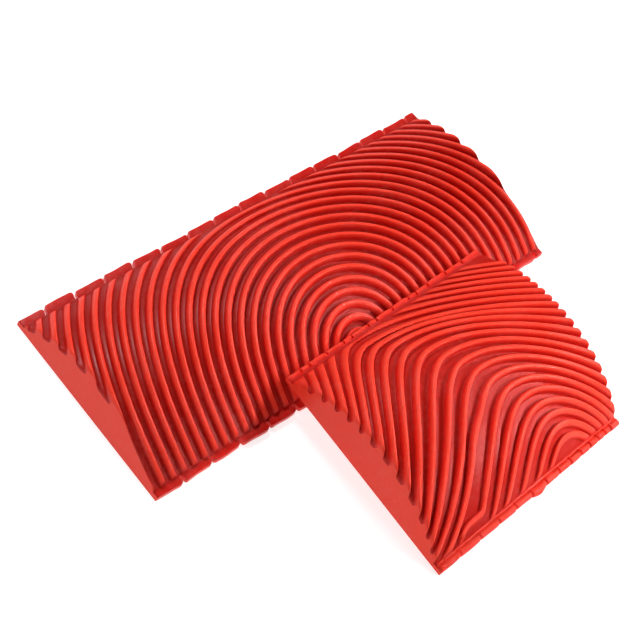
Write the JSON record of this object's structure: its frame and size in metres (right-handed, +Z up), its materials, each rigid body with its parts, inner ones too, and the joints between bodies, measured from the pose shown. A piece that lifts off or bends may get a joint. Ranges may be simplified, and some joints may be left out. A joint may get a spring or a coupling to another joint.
{
  "type": "wood graining rocker set",
  "caption": "Moulded rubber wood graining rockers: a long pad with ring ridges and a short pad with arch ridges, curved faces, slit lips and hollow finger-grip backs.",
  "frame": {"origin": "middle of the long pad's base, on the underside of its finger rib", "axes": "+X along the long pad's rocking axis, +Y away from the short pad, +Z up from the base"},
  "size_m": [0.155, 0.1247, 0.0215],
  "materials": {
    "long_rubber": "satin red moulded rubber",
    "short_rubber": "satin red moulded rubber"
  },
  "bodies": {
    "long_rocker": {"large_pad": "long_rubber"},
    "short_rocker": {"small_pad": "short_rubber"}
  },
  "joints": [
    {"name": "short_rocker_lift", "type": "slide", "parent": "long_rocker", "child": "short_rocker", "axis": [0, 0, 1], "range_m": [0, 0.05]}
  ]
}
